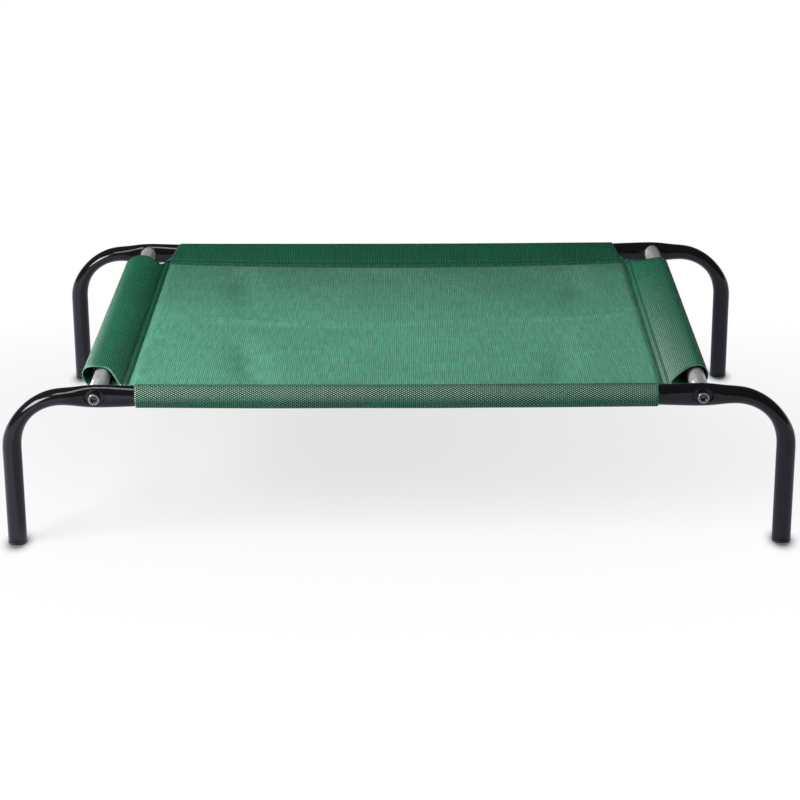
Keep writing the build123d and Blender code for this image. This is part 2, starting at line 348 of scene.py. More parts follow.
@dataclass(frozen=True)
class Finish:
    """What all finishes have in common.

    Args:
        name: Name of the material.
        colour: Its main colour.
        roughness: Its mean roughness.
        mottle: Its other colour, into which the main one wanders.
        metallic: How far it is a metal.
        gloss: Strength of its mirror image.
        grain: Grains per metre of its fine grain, or 0 for none.
        wander: How far the grain makes its roughness wander.
        grain_depth: Height of the grain.
        dust: Strength of the dust on it.
    """

    name: str
    colour: Colour
    roughness: float
    mottle: Colour = (0.0, 0.0, 0.0)
    metallic: float = 0.0
    gloss: float = 0.5
    grain: float = 0.0
    wander: float = 0.0
    grain_depth: float = 0.0
    dust: float = 0.0

    def material(self) -> bpy.types.Material:
        """Builds the material.

        Returns:
            The material.
        """
        material = bpy.data.materials.new(self.name)
        bench = NodeBench.emptied(material)
        shader = bench.put("BsdfPrincipled", {
            "Base Color": self.colour, "Roughness": self.roughness, "Metallic": self.metallic,
            "Specular IOR Level": self.gloss})
        bench.put("OutputMaterial", {"Surface": shader.outputs[0]})
        if self.grain:
            inputs = {"Scale": self.grain, "Roughness": self.roughness, "Wander": self.wander}
            grain = bench.put("Group", inputs, node_tree=Effects.grain()).outputs
            normal = bench.bump(grain["Height"], self.grain_depth)
            bench.feed(shader, {"Roughness": grain["Roughness"], "Normal": normal})
        if self.dust:
            dust = bench.put("Group", {"Color": self.colour, "Amount": self.dust}, node_tree=Effects.dust())
            bench.feed(shader, {"Base Color": dust.outputs["Color"]})
        self.paint(bench, shader)
        return material

    def paint(self, bench: NodeBench, shader: Node) -> None:
        """Adds what only this finish has, which for the plain ones is nothing.

        Args:
            bench: The material's bench.
            shader: Its surface shader.
        """


@dataclass(frozen=True)
class PowderCoat(Finish):
    """Glossy black powder coat with a faint orange peel."""

    name: str = "black_powder_coat"
    colour: Colour = (0.0036, 0.0036, 0.0044)
    roughness: float = 0.12
    gloss: float = 0.38
    grain: float = 420.0
    wander: float = 0.06
    grain_depth: float = 0.012 * MM
    dust: float = 0.004


@dataclass(frozen=True)
class FootPlastic(Finish):
    """Black moulded plastic with a fine spark-eroded grain."""

    name: str = "moulded_foot_plastic"
    colour: Colour = (0.016, 0.016, 0.017)
    roughness: float = 0.5
    grain: float = 1700.0
    wander: float = 0.12
    grain_depth: float = 0.06 * MM
    dust: float = 0.015


@dataclass(frozen=True)
class PlugSteel(Finish):
    """Plain turned steel of the threaded plugs inside the bars."""

    name: str = "turned_plug_steel"
    colour: Colour = (0.50, 0.50, 0.49)
    mottle: Colour = (0.42, 0.42, 0.41)
    roughness: float = 0.38
    metallic: float = 1.0
    grain: float = 1800.0
    wander: float = 0.14
    grain_depth: float = 0.01 * MM

    def paint(self, bench: NodeBench, shader: Node) -> None:
        """Rings of turning marks around the plug.

        Args:
            bench: The material's bench.
            shader: Its surface shader.
        """
        tone = bench.fractal(bench.object_place((1, 40, 1)), 60.0, 2.0)
        bench.feed(shader, {"Base Color": bench.blend(tone, self.mottle, self.colour)})


@dataclass(frozen=True)
class ZincPlate(Finish):
    """Bright zinc on drawn tube, with fine marks along it, a strip of painted shade on its top, and rolled
    crimps at its ends with painted shade in them.

    Args:
        crimps: From the bed's middle to the middle of each crimp.
        crimp_shade_width: Width of the ring of painted shade in a crimp.
        crimp_shade_colour: Colour of the painted shade in the crimps.
        top_shade_colour: Colour of the painted shade on the top of the bar.
        top_shade_lean: How far that strip of painted shade is turned to the left.
    """

    name: str = "bright_zinc"
    colour: Colour = (0.97, 0.97, 0.965)
    mottle: Colour = (0.72, 0.72, 0.72)
    roughness: float = 0.30
    metallic: float = 0.6
    grain: float = 1300.0
    wander: float = 0.16
    grain_depth: float = 0.01 * MM
    crimps: Tuple[float, ...] = ()
    crimp_shade_width: float = 2.8 * MM
    crimp_shade_colour: Colour = (0.10, 0.10, 0.105)
    top_shade_colour: Colour = (0.60, 0.60, 0.61)
    top_shade_lean: float = 0.12

    def paint(self, bench: NodeBench, shader: Node) -> None:
        """Drawing marks and spangle, a strip of painted shade on top, and a ring of painted shade in each
        crimp.

        Args:
            bench: The material's bench.
            shader: Its surface shader.
        """
        drawn = bench.fractal(bench.object_place((1, 0.03, 1)), 1500.0, 3.0)
        spangle = bench.fractal(bench.object_place(), 210.0, 2.0)
        tone = bench.spread(bench.maths("ADD", drawn, spangle), (0.6, 1.4))
        colour = bench.blend(tone, self.mottle, self.colour)
        # Painted shade: the top of the bar, turned a little to the left, is painted darker.
        facing = bench.normal()
        turned = bench.maths("ABSOLUTE", bench.maths("ADD", bench.coord("X", facing), self.top_shade_lean))
        upward = bench.spread(bench.coord("Z", facing), (0.2, 0.6))
        top = bench.times(bench.spread(turned, (0.08, 0.55), (0.9, 0.0)), upward)
        colour = bench.blend(top, colour, self.top_shade_colour)
        # Painted shade: a dark ring in each rolled crimp, where its groove lies in shade.
        along = bench.maths("ABSOLUTE", bench.coord("Y"))
        crimp_shade_edge = (self.crimp_shade_width * 0.2, self.crimp_shade_width * 0.5)
        for crimp in self.crimps:
            off = bench.maths("ABSOLUTE", bench.maths("SUBTRACT", along, crimp))
            colour = bench.blend(bench.spread(off, crimp_shade_edge, (0.7, 0.0)), colour, self.crimp_shade_colour)
        bench.feed(shader, {"Base Color": colour})


@dataclass(frozen=True)
class BlackOxide(Finish):
    """Black oxide on the bolts: dark oily steel, with a painted highlight on the knurled rim of the heads.

    Args:
        axis: Distance of the bolts' axes from the bed's middle, and their height.
        rim: Radius at which the painted highlight on the rim starts, and at which it is full.
        rim_highlight_colour: Colour of the painted highlight on the rim.
        knurls: Ridges around the head.
    """

    name: str = "black_oxide_steel"
    colour: Colour = (0.060, 0.060, 0.063)
    mottle: Colour = (0.11, 0.11, 0.11)
    roughness: float = 0.26
    metallic: float = 1.0
    grain: float = 2400.0
    wander: float = 0.12
    grain_depth: float = 0.012 * MM
    axis: Point = (0.0, 0.0)
    rim: Point = (4.6 * MM, 5.3 * MM)
    rim_highlight_colour: Colour = (0.50, 0.495, 0.41)
    knurls: int = 18

    def paint(self, bench: NodeBench, shader: Node) -> None:
        """Oily patches, and a painted highlight on the rim, on the crests of its knurls.

        Args:
            bench: The material's bench.
            shader: Its surface shader.
        """
        place = bench.object_place()
        tone = bench.spread(bench.fractal(place, 320.0, 3.0), (0.35, 0.7))
        colour = bench.blend(tone, self.colour, self.mottle)
        # Painted highlight: a bright ring on the head's rim, broken by the knurls.
        aside = bench.maths("SUBTRACT", bench.maths("ABSOLUTE", bench.coord("X", place)), self.axis[0])
        above = bench.maths("SUBTRACT", bench.coord("Z", place), self.axis[1])
        squares = bench.maths("ADD", bench.times(aside, aside), bench.times(above, above))
        around = bench.maths("ARCTAN2", above, aside)
        ridge = bench.maths("SINE", bench.times(around, float(self.knurls)))
        crests = bench.spread(ridge, (-0.6, 0.4), (0.25, 1.0))
        rim_highlight = bench.times(bench.spread(bench.maths("SQRT", squares), self.rim), crests)
        bench.feed(shader, {"Base Color": bench.blend(rim_highlight, colour, self.rim_highlight_colour)})


@dataclass(frozen=True)
class MeshCloth(Finish):
    """Coated yarn woven into an open mesh, with its holes in staggered rows.

    Args:
        sleeve_colour: Colour where the cloth is double or lies on a tube, so no light comes through.
        painted_sheen: Colour of the painted sheen on the yarn's crowns.
        sheen_towards: Direction that the crowns with the most painted sheen face, towards the light.
        sheen_from: Place across the bed at which the painted sheen is strongest, and at which it fades out.
        hole_across: Half the distance between two holes of a row, along U.
        hole_along: Half the distance between two holes of a column, along V.
        hole_edge: Levels of the weave's pattern between which a hole opens.
        crown_edge: Levels between which a crown of the yarn rises.
        jitter: How far the holes stray from their rows.
        yarn_depth: Height of the yarn's crowns over the valleys.
        over_black: How much darker it looks around the black rails than around the zinc bars.
        unevenness: Broad tones: stretch of the pattern, repeats per metre, octaves, and strength.
    """

    name: str = "woven_green_mesh"
    # The panel's colour is the yarn's green with painted light in it: the light that comes through the
    # single layer, and the cloth's sheen.
    colour: Colour = (0.086, 0.296, 0.192)
    roughness: float = 0.42
    gloss: float = 0.20
    sleeve_colour: Colour = (0.007, 0.146, 0.072)
    painted_sheen: Colour = (0.66, 0.76, 0.71)
    sheen_towards: Triple = (-0.86, -0.35, 0.37)
    sheen_from: Point = (-0.30, 0.26)
    hole_across: float = 2.3 * MM
    hole_along: float = 1.2 * MM
    hole_edge: Point = (0.86, 0.95)
    crown_edge: Point = (0.35, -0.75)
    jitter: float = 0.7 * MM
    yarn_depth: float = 0.3 * MM
    over_black: float = 0.56
    unevenness: Tuple[Tuple[Triple, float, float, float], ...] = (
        ((1.0, 0.07, 1.0), 400.0, 1.0, 0.16),
        ((1.0, 1.0, 1.0), 8.0, 3.0, 0.06),
        ((0.12, 1.0, 1.0), 90.0, 2.0, 0.05),
    )

    def lattice(self, bench: NodeBench, place: Socket) -> Tuple[Socket, Socket]:
        """The weave's pattern, 1 in the middle of a hole and -1 on a crown of the yarn.

        Args:
            bench: The material's bench.
            place: Coordinates in the flat cloth.

        Returns:
            The pattern, and how near a column of holes is.
        """
        drift = bench.put("TexNoise", {"Vector": place, "Scale": 240.0, "Detail": 1.0}).outputs[1]
        drift = bench.vector("SUBTRACT", {0: drift, 1: (0.5, 0.5, 0.5)})
        drift = bench.vector("SCALE", {0: drift, "Scale": self.jitter})
        place = bench.vector("ADD", {0: place, 1: drift})
        across, along = (
            bench.maths("COSINE", bench.times(bench.coord(axis, place), math.pi / half))
            for axis, half in (("X", self.hole_across), ("Y", self.hole_along)))
        return bench.times(across, along), bench.maths("ABSOLUTE", across)

    def painted_sheen_mask(self, bench: NodeBench) -> Socket:
        """Mask of the painted sheen on the crowns: near the front, on what faces forwards and to the left,
        towards the light.

        Args:
            bench: The material's bench.

        Returns:
            The mask.
        """
        front = bench.maths("POWER", bench.spread(bench.coord("Y"), self.sheen_from, (1.0, 0.12)), 1.5)
        facing = bench.vector("DOT_PRODUCT", {0: bench.normal(), 1: self.sheen_towards}, "Value")
        return bench.times(front, bench.spread(facing, (0.255, 0.875), (0.1, 1.1)))

    def shading(self, bench: NodeBench, place: Socket, crown: Socket, backing: Socket) -> Socket:
        """How light the cloth is: crowns painted lighter than the valleys, uneven yarn, and painted shade
        that darkens it towards the rear.

        Args:
            bench: The material's bench.
            place: Coordinates in the flat cloth.
            crown: Mask of the crowns.
            backing: How far the cloth is double or lies on a tube: 1 on a bar and more on a rail.

        Returns:
            The factor for its colour.
        """
        # Painted light and shade: the crowns are painted lighter and the valleys darker.
        peaks = bench.maths("MULTIPLY_ADD", bench.maths("POWER", crown, 2.5), 4.2, 0.04)
        contrast = bench.spread(backing, (0.0, 1.0), (0.5, 1.0))
        peaks = bench.times(bench.maths("SUBTRACT", peaks, 1.0), contrast)
        over_rail = bench.spread(backing, (1.0, 1.4), (1.0, self.over_black))
        shade = bench.times(bench.maths("ADD", peaks, 1.0), over_rail)
        for stretch, scale, octaves, strength in self.unevenness:
            tone = bench.fractal(bench.stretched(place, stretch), scale, octaves)
            shade = bench.times(shade, bench.spread(tone, (0.3, 0.7), (1 - strength, 1 + strength)))
        # Painted shade: the cloth is painted darker towards the rear, the panel most.
        rear_shade_depth = bench.spread(backing, (0.0, 1.0), (0.34, 0.07))
        rear = bench.times(bench.spread(bench.coord("Y"), (0.03, 0.25)), rear_shade_depth)
        return bench.times(shade, bench.maths("SUBTRACT", 1.0, rear))

    def paint(self, bench: NodeBench, shader: Node) -> None:
        """Holes, yarn relief and colours of the weave.

        Args:
            bench: The material's bench.
            shader: Its surface shader.
        """
        place = bench.put("UVMap", uv_map="cloth").outputs[0]
        lattice, column = self.lattice(bench, place)
        backing = bench.put("Attribute", attribute_name="backing").outputs["Fac"]
        crown = bench.spread(lattice, self.crown_edge)
        fibre = bench.fractal(bench.stretched(place, (1.0, 0.3, 1.0)), 3200.0, 1.0)
        height = bench.maths("MULTIPLY_ADD", fibre, 0.08, crown)
        height = bench.maths("MULTIPLY_ADD", column, -0.3, height)
        height = bench.times(height, bench.spread(backing, (0.0, 1.0), (0.3, 1.0)))

        body = bench.blend(backing, self.colour, self.sleeve_colour)
        shade = bench.grey(self.shading(bench, place, crown, backing))
        colour = bench.blend(1.0, body, shade, "MULTIPLY")
        # Painted sheen: crowns facing the light at the front left are painted paler.
        painted_sheen = bench.times(self.painted_sheen_mask(bench), bench.spread(backing, (0.0, 1.0), (0.13, 0.92)),
                            bench.maths("POWER", crown, 2.0))
        valleys = bench.spread(crown, (0.0, 1.0), (self.roughness + 0.25, self.roughness))
        bench.feed(shader, {
            "Base Color": bench.blend(painted_sheen, colour, self.painted_sheen),
            "Roughness": bench.maths("MAXIMUM", valleys, bench.spread(backing, (0.0, 1.0), (0.62, 0.0))),
            "Alpha": bench.spread(lattice, self.hole_edge, (1.0, 0.0)),
            "Normal": bench.bump(height, self.yarn_depth)})


@dataclass(frozen=True)
class CutYarn(Finish):
    """The pale ends of the yarn where the cloth was cut."""

    name: str = "cut_yarn"
    colour: Colour = (0.22, 0.42, 0.33)
    mottle: Colour = (0.06, 0.20, 0.13)
    roughness: float = 0.6
    grain: float = 1500.0
    wander: float = 0.1
    grain_depth: float = 0.1 * MM

    def paint(self, bench: NodeBench, shader: Node) -> None:
        """Frayed tones."""
        tone = bench.spread(bench.fractal(bench.object_place(), 700.0, 2.0), (0.35, 0.65))
        bench.feed(shader, {"Base Color": bench.blend(tone, self.mottle, self.colour)})


@dataclass(frozen=True)
class SewingThread(Finish):
    """Dark green bonded thread with a tight twist.

    Args:
        twist_depth: Height of the twist's relief.
    """

    name: str = "sewing_thread"
    colour: Colour = (0.012, 0.070, 0.042)
    mottle: Colour = (0.006, 0.040, 0.024)
    roughness: float = 0.55
    twist_depth: float = 0.1 * MM

    def paint(self, bench: NodeBench, shader: Node) -> None:
        """The twist, in colour and in relief.

        Args:
            bench: The material's bench.
            shader: Its surface shader.
        """
        inputs = {"Vector": bench.object_place(), "Scale": 420.0, "Distortion": 1.5}
        twist = bench.put("TexWave", inputs, bands_direction="DIAGONAL").outputs["Fac"]
        colour = bench.blend(twist, self.mottle, self.colour)
        bench.feed(shader, {"Base Color": colour, "Normal": bench.bump(twist, self.twist_depth, 0.7)})


# ---------------------------------------------------------------------------------------------
# The bolted frame
# ---------------------------------------------------------------------------------------------


@dataclass
class BoltedFrame:
    """Rails, bars, plugs, bolts and feet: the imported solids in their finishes.

    Args:
        crimp_places: From the end of a bar to each of its rolled crimps.
        finishes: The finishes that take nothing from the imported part.
    """

    crimp_places: Tuple[float, ...] = (12 * MM, 19 * MM, 26 * MM)
    finishes: Dict[Slot, Finish] = field(default_factory=lambda: {
        Slot.POWDER_COAT: PowderCoat(),
        Slot.PLUG_STEEL: PlugSteel(),
        Slot.FOOT_PLASTIC: FootPlastic(),
    })

    def dress(self) -> None:
        """Gives every rigid node its finish, by the slot that the record has for it."""
        _, bar_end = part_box("left_cross_bar")
        self.finishes[Slot.ZINC] = ZincPlate(crimps=tuple(bar_end.y - place for place in self.crimp_places))
        x, _, z = middle_of("front_right_bolt")
        self.finishes[Slot.BLACK_OXIDE] = BlackOxide(axis=(x, z))
        made = {slot: finish.material() for slot, finish in self.finishes.items()}
        slots = {part["node"]: Slot(part["material_slot"]) for part in frame["record"]["subparts"]}
        for name, node in frame["nodes"].items():
            slot = slots[name]
            if slot not in made:
                continue
            node.data.materials.clear()
            node.data.materials.append(made[slot])
            LOG.info("%s in %s", name, made[slot].name)


# ---------------------------------------------------------------------------------------------
# The sling
# ---------------------------------------------------------------------------------------------

# The bars' sleeves in millimetres: crease in from the bar, middle of the loop out from it, radius.
BAR_SLEEVES: Dict[Side, Triple] = {Side.LEFT: (33.5, 10.0, 14.0), Side.RIGHT: (40.0, 1.3, 13.5)}

# First knot of every mouth: the end of the strip that joins a bar's sleeve to a rail's.
NOTCH_KNOT: Point = (6.4, 40)

# The cut of each corner in millimetres. First the mouth of the bar's sleeve past the notch knot, in
# from the rail, then the end of the rail's sleeve past the crease, in from the bar. Both are knots
# of (distance along the sleeve's path, inset).
CORNER_CUTS: Dict[Tuple[Side, End], Tuple[Knots, Knots]] = {
    (Side.LEFT, End.FRONT): (
        ((10, 38.5), (14, 39), (22, 52.5), (28.5, 62.5), (35, 65.5), (42, 64.5), (48, 63), (58, 66.5),
         (69, 72.5), (80, 73), (91, 64), (103, 54), (115, 50), (130, 47)),
        ((20, 33.5), (38, 42.5), (48, 46.5), (60, 46.9), (85, 46.9), (100, 43.5), (130, 33.5))),
    (Side.RIGHT, End.FRONT): (
        ((10, 41), (15, 43.5), (25, 50.5), (36, 59.5), (45, 62.5), (56, 65.5), (66, 68.5), (76, 66),
         (88, 56), (100, 48), (110, 46), (130, 44)),
        ((20, 39.5), (38, 47.5), (48, 51), (60, 51.2), (85, 51.2), (100, 47.5), (130, 39.5))),
    (Side.LEFT, End.REAR): (
        ((8.5, 49.5), (12, 63), (16, 66), (20, 65.5), (25, 61.5), (30, 57), (36, 56.5), (42, 58),
         (48, 63), (56, 67.5), (69, 67.5), (91, 65.5), (130, 55.5)),
        ((7, 31), (17.5, 36), (32, 40), (40, 43), (48, 45.5), (60, 45.8), (85, 45.8), (130, 33.5))),
    (Side.RIGHT, End.REAR): (
        ((9, 48.5), (12, 55.5), (16, 62.5), (20, 67.5), (25, 71.5), (30, 74), (36, 75), (42, 74.5),
         (48, 73), (56, 69.5), (69, 67.5), (88, 67.5), (130, 55.5)),
        ((6, 40), (16, 47.5), (35, 53), (41, 55), (50, 56), (60, 56), (85, 56), (130, 40))),
}


def set_in(middle: float, knots: Iterable[Point]) -> Knots:
    """Knots in metres from knots in millimetres, with their insets taken from a tube's middle."""
    return tuple((place * MM, middle - inset * MM) for place, inset in knots)


def smooth_curve(knots: Knots, at: float) -> float:
    """Value of a smooth curve through knots of (place, value).

    Args:
        knots: Points in rising order of place.
        at: The place asked for.

    Returns:
        The value there, held past both ends.
    """
    last = len(knots) - 1
    index = bisect_right([place for place, _ in knots], at) - 1
    if index < 0 or index >= last:
        return knots[0 if index < 0 else last][1]

    def slope(knot: int) -> float:
        """Slope of the curve at a knot, by its neighbours."""
        before, after = knots[max(knot - 1, 0)], knots[min(knot + 1, last)]
        return (after[1] - before[1]) / (after[0] - before[0])

    (x0, y0), (x1, y1) = knots[index], knots[index + 1]
    span = x1 - x0
    t = (at - x0) / span
    return ((1 + 2 * t) * (1 - t) ** 2 * y0 + t * (1 - t) ** 2 * span * slope(index)
            + t * t * (3 - 2 * t) * y1 + t * t * (t - 1) * span * slope(index + 1))


def evenly(start: float, end: float, step: float) -> List[float]:
    """Stations after start, up to and including end, at most a step apart."""
    count = max(1, math.ceil((end - start) / step))
    return [start + (end - start) * (index + 1) / count for index in range(count)]


def straight(start: Point, end: Point, count: int, bow: float = 0.0) -> List[Point]:
    """Points on a line after its start, up to and including its end.

    Args:
        start: Where it begins.
        end: Where it ends.
        count: Number of points.
        bow: How far its middle hangs below the straight line.

    Returns:
        The points.
    """
    return [(start[0] + (end[0] - start[0]) * share,
             start[1] + (end[1] - start[1]) * share - bow * math.sin(math.pi * share))
            for share in (k / count for k in range(1, count + 1))]


def bezier(corners: Sequence[Point], t: float) -> Point:
    """Point of a cubic curve with four control points."""
    weights = ((1 - t) ** 3, 3 * t * (1 - t) ** 2, 3 * t * t * (1 - t), t ** 3)
    return tuple(sum(w * corner[axis] for w, corner in zip(weights, corners)) for axis in (0, 1))


def waves(x: float, y: float, z: float) -> float:
    """Smooth noise between -1 and 1 at a place."""
    return noise.noise(Vector((x, y, z)))


@dataclass(frozen=True)
class Stitching:
    """The two rows of lockstitch that close a sleeve.

    Args:
        first_row: From the crease to the first row, along the sleeve.
        second_row: From the crease to the second row.
        pitch: Length of one stitch with its gap.
        stitch: Length of one stitch on the surface.
        thread: Diameter of the thread.
        groove: Depth to which a row draws the cloth in.
        groove_width: Half width of that groove.
        rings: Place along the stitch, girth and lift of each ring of it, as shares of its size.
        corners: Points of a ring.
        flatness: Height of a ring for its breadth.
    """

    first_row: float = 0.9 * MM
    second_row: float = 7.4 * MM
    pitch: float = 3.4 * MM
    stitch: float = 2.9 * MM
    thread: float = 0.9 * MM
    groove: float = 0.95 * MM
    groove_width: float = 1.1 * MM
    rings: Tuple[Triple, ...] = (
        (-0.5, 0.45, -0.25), (-0.3, 0.95, 0.55), (0.3, 0.95, 0.55), (0.5, 0.45, -0.25))
    corners: int = 6
    flatness: float = 0.85

    def dip(self, along: float) -> float:
        """How far the rows draw the cloth in at a distance from the crease."""
        rows = (self.first_row, self.second_row)
        return self.groove * sum(math.exp(-((along - row) / self.groove_width) ** 2) for row in rows)


class Marks(NamedTuple):
    """Distances along a sleeve's path: onto the loop, off it, to the closing point, to the end."""

    onto_loop: float
    off_loop: float
    closing: float
    end: float


@dataclass(frozen=True)
class SleevePath:
    """Path of the cloth across a sleeve, from the crease over the tube and back below it.

    Args:
        crease: From the bed's middle to the crease.
        crease_height: Height of the crease.
        centre: From the bed's middle to the middle of the loop.
        height: Height of the loop's middle.
        radius: Radius of the loop, to the middle of the cloth.
        swell: How much steeper than a taut sleeve the upper run starts, where the loop is loose.
        loose_top: Slope at which the upper run of a loose loop meets its round.
        handle: Reach of the upper run's control points, for its length.
        lower_bow: How far the lower run hangs in its middle.
        stitching: The rows that close it.
        layer_gap: Between the two layers where they are sewn.
        tail: Hem past the crease, under the panel.
        hem_step: Distance between two points of the sewn layer and the hem.
    """

    crease: float
    crease_height: float
    centre: float
    height: float
    radius: float
    swell: float = 0.0
    loose_top: float = math.radians(6)
    handle: float = 0.38
    lower_bow: float = 0.8 * MM
    stitching: Stitching = Stitching()
    layer_gap: float = 1.15 * MM
    tail: float = 2.5 * MM
    hem_step: float = 0.5 * MM

    def tangent(self, start: Point, turn: int) -> float:
        """Angle over the level of the line from a point to the loop: its top for 1, else for -1."""
        run, rise = self.centre - start[0], self.height - start[1]
        return math.atan2(rise, run) + turn * math.asin(self.radius / math.hypot(run, rise))

    @property
    def taut_slope(self) -> float:
        """Angle of the straight line from the crease to the top of the loop."""
        return self.tangent((self.crease, self.crease_height), 1)

    @cached_property
    def trace(self) -> Tuple[List[Point], List[float], Marks]:
        """The path as close points, their distances along it, and its marks.

        Returns:
            The points, the distances, and the marks.
        """
        start = (self.crease, self.crease_height)
        slope = self.taut_slope
        row = self.stitching.second_row
        across, up = math.cos(slope), math.sin(slope)
        flat_end = (start[0] + row * across, start[1] + row * up)
        leave = self.loose_top if self.swell else slope
        top = (self.centre - self.radius * math.sin(leave), self.height + self.radius * math.cos(leave))
        reach = self.handle * math.dist(flat_end, top)
        steep = slope + self.swell
        rise = (flat_end[0] + reach * math.cos(steep), flat_end[1] + reach * math.sin(steep))
        land = (top[0] - reach * math.cos(leave), top[1] - reach * math.sin(leave))
        points = [start] + straight(start, flat_end, 16)
        points += [bezier((flat_end, rise, land, top), k / 48) for k in range(1, 49)]
        counts = [len(points)]
        close = (flat_end[0] + self.layer_gap * up, flat_end[1] - self.layer_gap * across)
        turn = math.pi + leave - self.tangent(close, -1)
        for angle in (math.pi / 2 + leave - turn * k / 80 for k in range(1, 81)):
            points.append((self.centre + self.radius * math.cos(angle),
                           self.height + self.radius * math.sin(angle)))
        counts.append(len(points))
        points += straight(points[-1], close, 32, self.lower_bow)
        counts.append(len(points))
        sewn = evenly(0, row, self.hem_step)
        points += [(close[0] - back * across, close[1] - back * up) for back in sewn]
        last = points[-1]
        points += [(last[0] - back, last[1]) for back in evenly(0, self.tail, self.hem_step)]
        counts.append(len(points))
        distances = [0.0]
        for before, after in zip(points, points[1:]):
            distances.append(distances[-1] + math.dist(before, after))
        return points, distances, Marks(*(distances[count - 1] for count in counts))

    @property
    def marks(self) -> Marks:
        """Where along the path it changes."""
        return self.trace[2]

    def at(self, along: float) -> Point:
        """Place on the path, with the rows of stitches drawn in.

        Args:
            along: Distance from the crease, along the cloth.

        Returns:
            The distance from the bed's middle, and the height.
        """
        points, distances, _ = self.trace
        index = min(max(bisect_right(distances, along) - 1, 0), len(points) - 2)
        share = (along - distances[index]) / (distances[index + 1] - distances[index])
        share = min(max(share, 0.0), 1.0)
        (x0, z0), (x1, z1) = points[index], points[index + 1]
        dip = self.stitching.dip(along) / math.dist((x0, z0), (x1, z1))
        return x0 + (x1 - x0) * share + (z1 - z0) * dip, z0 + (z1 - z0) * share - (x1 - x0) * dip

    @cached_property
    def stations(self) -> List[float]:
        """Distances along the path at which the cloth has a row of points, close at the stitches.

        Returns:
            The distances, from 0 at the crease.
        """
        fine = self.stitching.groove_width / 2
        rows = [0.0] + [self.stitching.first_row + fine * k for k in (-1, 0, 1, 2, 4)]
        rows += [self.stitching.second_row + fine * k for k in (-4, -2, -1, 0, 1, 2)]
        ends = (rows[-1],) + self.marks
        for start, end, step in zip(ends, ends[1:], (3 * MM, 2.6 * MM, 5 * MM, 2 * MM)):
            rows += evenly(start, end, step)
        return rows


@dataclass(frozen=True)
class CornerCut:
    """How the cloth is cut out at one corner of the bed.

    Args:
        mouth: Knots of the bar sleeve's mouth: distance along its path, distance from the bed's middle.
        rail_end: The same for the end of the rail's sleeve.
    """

    mouth: Knots
    rail_end: Knots


class Fold(NamedTuple):
    """A long shallow fold of the panel: its depth, its place along the bed, and its lean."""

    depth: float
    place: float
    lean: float


